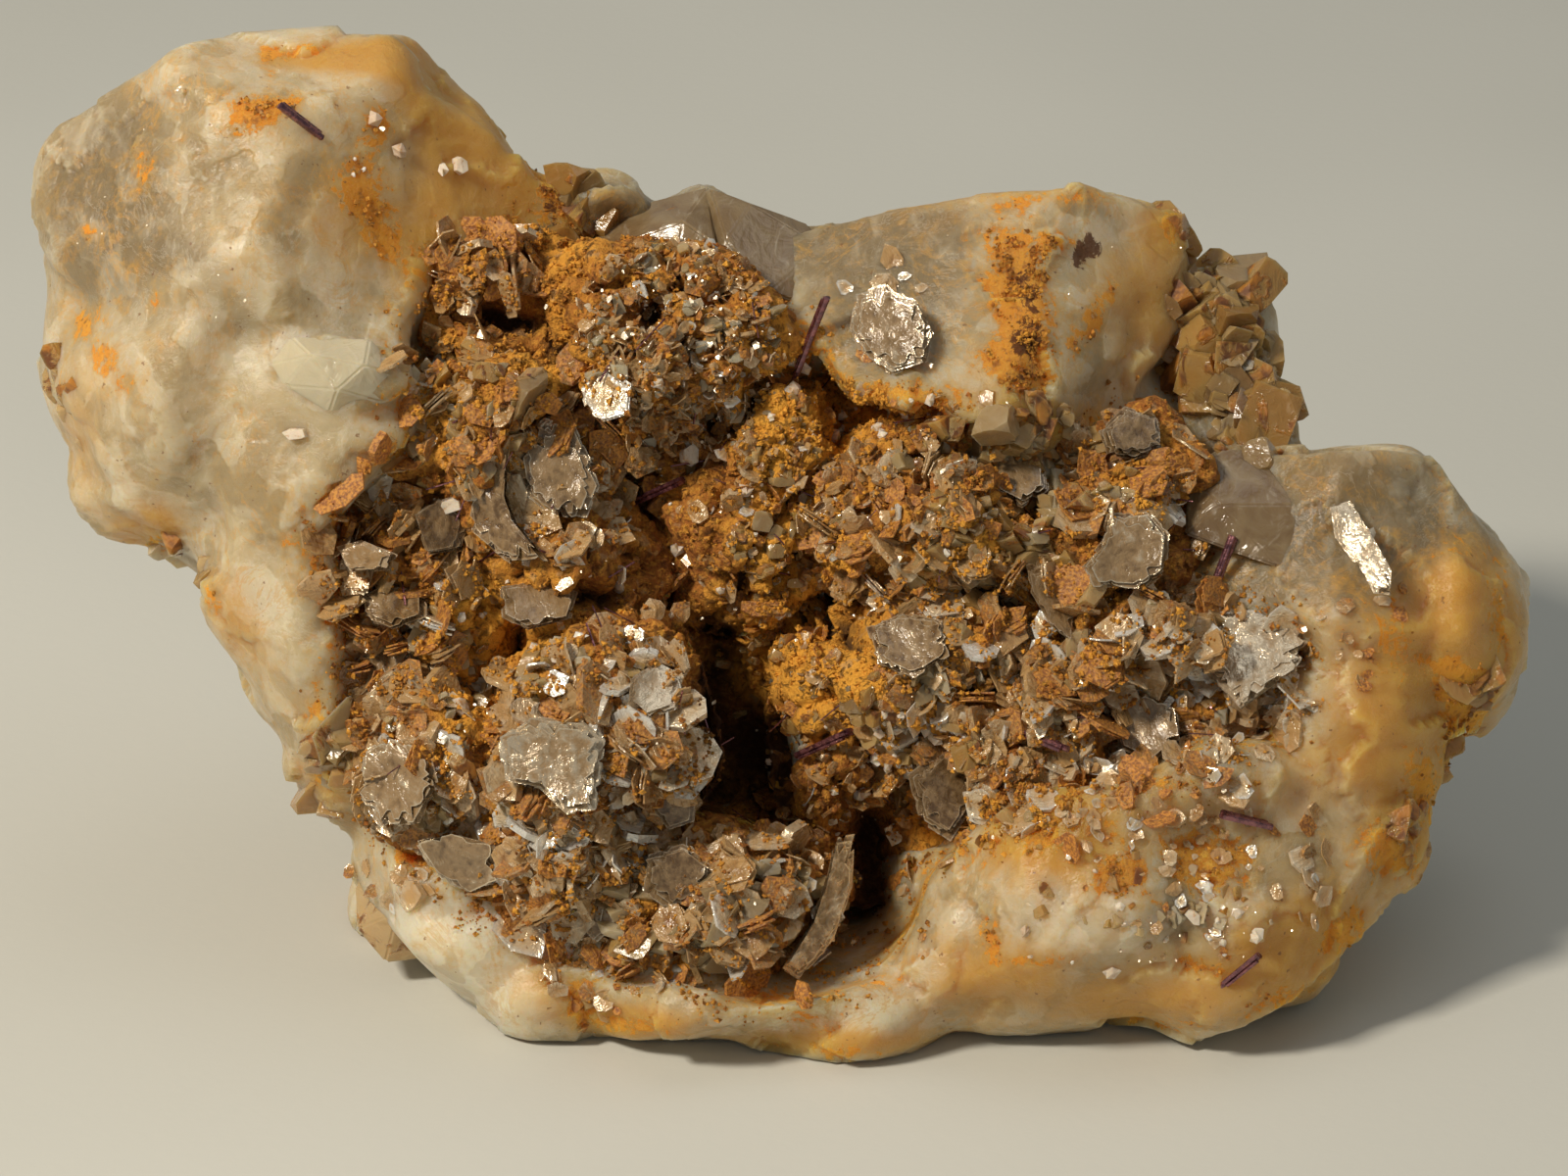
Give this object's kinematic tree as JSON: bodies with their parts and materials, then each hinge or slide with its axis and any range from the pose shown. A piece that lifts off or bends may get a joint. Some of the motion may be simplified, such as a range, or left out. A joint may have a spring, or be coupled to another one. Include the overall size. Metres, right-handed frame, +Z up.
{
  "type": "adularia specimen",
  "caption": "Natural specimen of intergrown milky feldspar crystals round a hollow of iron oxide, mica books and rutile needles, lying on a flat broken base.",
  "frame": {"origin": "middle of the bounding box at the base, on the flat broken face that the specimen rests on", "axes": "+X to the right along the longest extent, +Y away from the viewer of the crystal face, +Z up; the crystal face leans back and looks towards -Y and +Z"},
  "size_m": [0.0622, 0.0324, 0.0369],
  "materials": {
    "milky_feldspar": "waxy to glassy, faintly translucent, stained yellow and orange in places",
    "small_feldspar": "glassy",
    "iron_oxide_crust": "earthy, matt",
    "mica": "pearly, with bright reflections from flat cleavage faces",
    "rutile": "metallic to adamantine, striated lengthwise"
  },
  "bodies": {
    "root": {"adularia_mass": "milky_feldspar", "mica_and_iron_crust": "iron_oxide_crust", "mica_book_1": "mica", "mica_book_2": "mica", "mica_book_3": "mica", "mica_book_4": "mica", "mica_book_5": "mica", "mica_book_6": "mica", "mica_book_7": "mica", "mica_book_8": "mica", "mica_book_9": "mica", "mica_book_10": "mica", "mica_book_11": "mica", "mica_book_12": "mica", "mica_book_13": "mica", "mica_book_14": "mica", "mica_book_15": "mica", "mica_book_16": "mica", "mica_book_17": "mica", "mica_book_18": "mica", "mica_book_19": "mica", "mica_book_20": "mica", "mica_book_21": "mica", "mica_book_22": "mica", "mica_book_23": "mica", "mica_book_24": "mica", "mica_book_25": "mica", "small_adularia_crystal_1": "small_feldspar", "small_adularia_crystal_2": "small_feldspar", "small_adularia_crystal_3": "small_feldspar", "small_adularia_crystal_4": "small_feldspar", "small_adularia_crystal_5": "small_feldspar", "small_adularia_crystal_6": "small_feldspar", "rutile_needle_1": "rutile", "rutile_needle_2": "rutile", "rutile_needle_3": "rutile", "rutile_needle_4": "rutile", "rutile_needle_5": "rutile", "rutile_needle_6": "rutile", "rutile_needle_7": "rutile", "rutile_needle_8": "rutile"}
  },
  "joints": []
}
